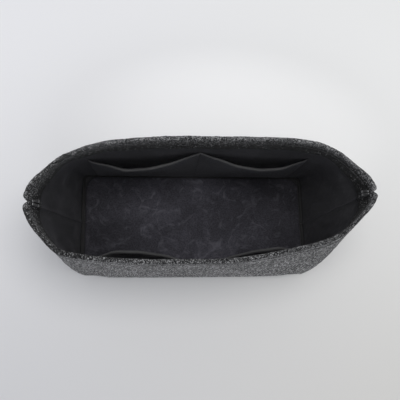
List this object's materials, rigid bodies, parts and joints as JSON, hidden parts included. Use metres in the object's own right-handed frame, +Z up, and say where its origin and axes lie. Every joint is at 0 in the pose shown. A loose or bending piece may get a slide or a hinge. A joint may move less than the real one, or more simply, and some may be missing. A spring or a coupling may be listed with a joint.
{
  "type": "purse organizer insert",
  "caption": "Open felt tray that stands in a handbag: pointed ends with seams, folded hem rim, cloth lining, wall pockets and a loose covered base board that tips up.",
  "frame": {"origin": "middle of the underside, on the surface that the insert stands on", "axes": "+X along the insert to the right end, +Y to the back, +Z up out of the mouth"},
  "size_m": [0.3136, 0.117, 0.118],
  "materials": {
    "felt": "heathered charcoal felt",
    "lining": "matt black woven lining",
    "board_sleeve": "matt black brushed cloth",
    "board": "matt black sheet",
    "thread": "black sewing thread"
  },
  "bodies": {
    "insert": {"felt_back_panel": "felt", "felt_front_panel": "felt", "felt_base_panel": "felt", "lining_back_panel": "lining", "lining_front_panel": "lining", "lining_base_panel": "lining", "back_pocket_panel": "lining", "front_pocket_panel": "lining", "back_rim_topstitch": "thread", "back_pocket_tack": "thread", "back_pocket_divider_stitch": "thread", "back_pocket_left_stitch": "thread", "back_pocket_right_stitch": "thread", "front_rim_topstitch": "thread", "front_pocket_tack": "thread", "front_pocket_divider_stitch": "thread", "front_pocket_left_stitch": "thread", "front_pocket_right_stitch": "thread", "left_end_seam_stitch": "thread", "right_end_seam_stitch": "thread", "base_seam_stitch": "thread"},
    "board": {"base_board_core": "board", "base_board_sleeve": "board_sleeve"}
  },
  "joints": [
    {"name": "base_board_tip", "type": "hinge", "parent": "insert", "child": "board", "pos_m": [0, 0.0498, 0.0063], "axis": [-1, 0, 0], "range_deg": [0, 76]}
  ]
}
